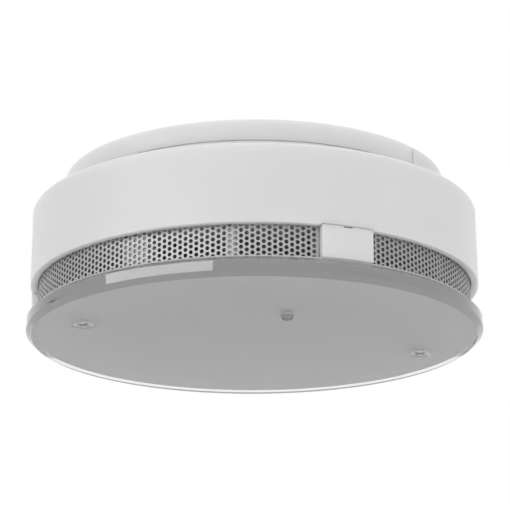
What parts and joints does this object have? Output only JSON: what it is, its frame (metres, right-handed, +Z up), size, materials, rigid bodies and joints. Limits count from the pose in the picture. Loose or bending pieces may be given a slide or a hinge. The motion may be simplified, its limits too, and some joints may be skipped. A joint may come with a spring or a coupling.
{
  "type": "smoke detector",
  "caption": "Round ceiling smoke detector with a twist-on base, a white housing, a perforated side inlet and a clear front disc over a satin plate.",
  "frame": {"origin": "centre of the face of the mounting base that meets the ceiling, on the axis of the cable opening", "axes": "+Z up, into the ceiling; the detector hangs below Z = 0. The test button lies towards -Y and the two face screws lie on X"},
  "size_m": [0.12, 0.12, 0.0441],
  "materials": {
    "white_plastic": "fine moulded, satin",
    "screw_steel": "zinc plated",
    "face_screw_steel": "satin stainless",
    "band_steel": "bright rolled, perforated",
    "plate_satin": "satin grey",
    "clear_acrylic": "polished, clear",
    "light_guide": "translucent, polished",
    "spring_steel": "drawn wire",
    "switch_black": "moulded",
    "lamp_red": "tinted resin",
    "board_green": "solder mask",
    "chip_black": "moulded",
    "capacitor_sleeve": "shrunk sleeve",
    "chamber_black": "deep matt, light absorbing",
    "screen_steel": "fine woven mesh",
    "emitter_lens": "tinted resin",
    "diode_lens": "dark tinted resin",
    "sounder_white": "moulded",
    "sounder_brass": "rolled",
    "battery_wrap": "shrunk sleeve, plain",
    "cradle_white": "moulded",
    "contact_nickel": "nickel plated spring steel"
  },
  "bodies": {
    "base": {"mounting_base": "white_plastic"},
    "head": {"rear_cover": "white_plastic", "housing": "white_plastic", "inlet_frame": "white_plastic", "cover_screws": "screw_steel", "frame_screws": "screw_steel", "board_screws": "screw_steel", "face_screws": "face_screw_steel", "inlet_mesh": "band_steel", "backing_plate": "plate_satin", "front_disc": "clear_acrylic", "button_spring": "spring_steel", "test_switch": "switch_black", "status_lamp": "lamp_red", "circuit_board": "board_green", "controller_chip": "chip_black", "capacitors": "capacitor_sleeve", "chamber_base": "chamber_black", "chamber_lid": "chamber_black", "insect_screen": "screen_steel", "infrared_emitter": "emitter_lens", "photodiode": "diode_lens", "sounder_cup": "sounder_white", "sounder_lid": "sounder_white", "sounder_disc": "sounder_brass", "battery": "battery_wrap", "battery_cradle": "cradle_white", "battery_contacts": "contact_nickel"},
    "latch": {"release_latch": "white_plastic"},
    "button": {"test_button": "light_guide"}
  },
  "joints": [
    {"name": "head_twist", "type": "hinge", "parent": "base", "child": "head", "pos_m": [0, 0, 0], "axis": [0, 0, 1], "range_deg": [0, 15]},
    {"name": "button_press", "type": "slide", "parent": "head", "child": "button", "axis": [0, 0, 1], "range_m": [0, 0.0008], "stiffness_N_per_m": 1000, "springref_m": -0.001, "deforming": ["button_spring"]},
    {"name": "latch_press", "type": "slide", "parent": "base", "child": "latch", "axis": [-0.6756, 0.7373, 0], "range_m": [0, 0.0012], "stiffness_N_per_m": 1500, "springref_m": -0.001}
  ]
}
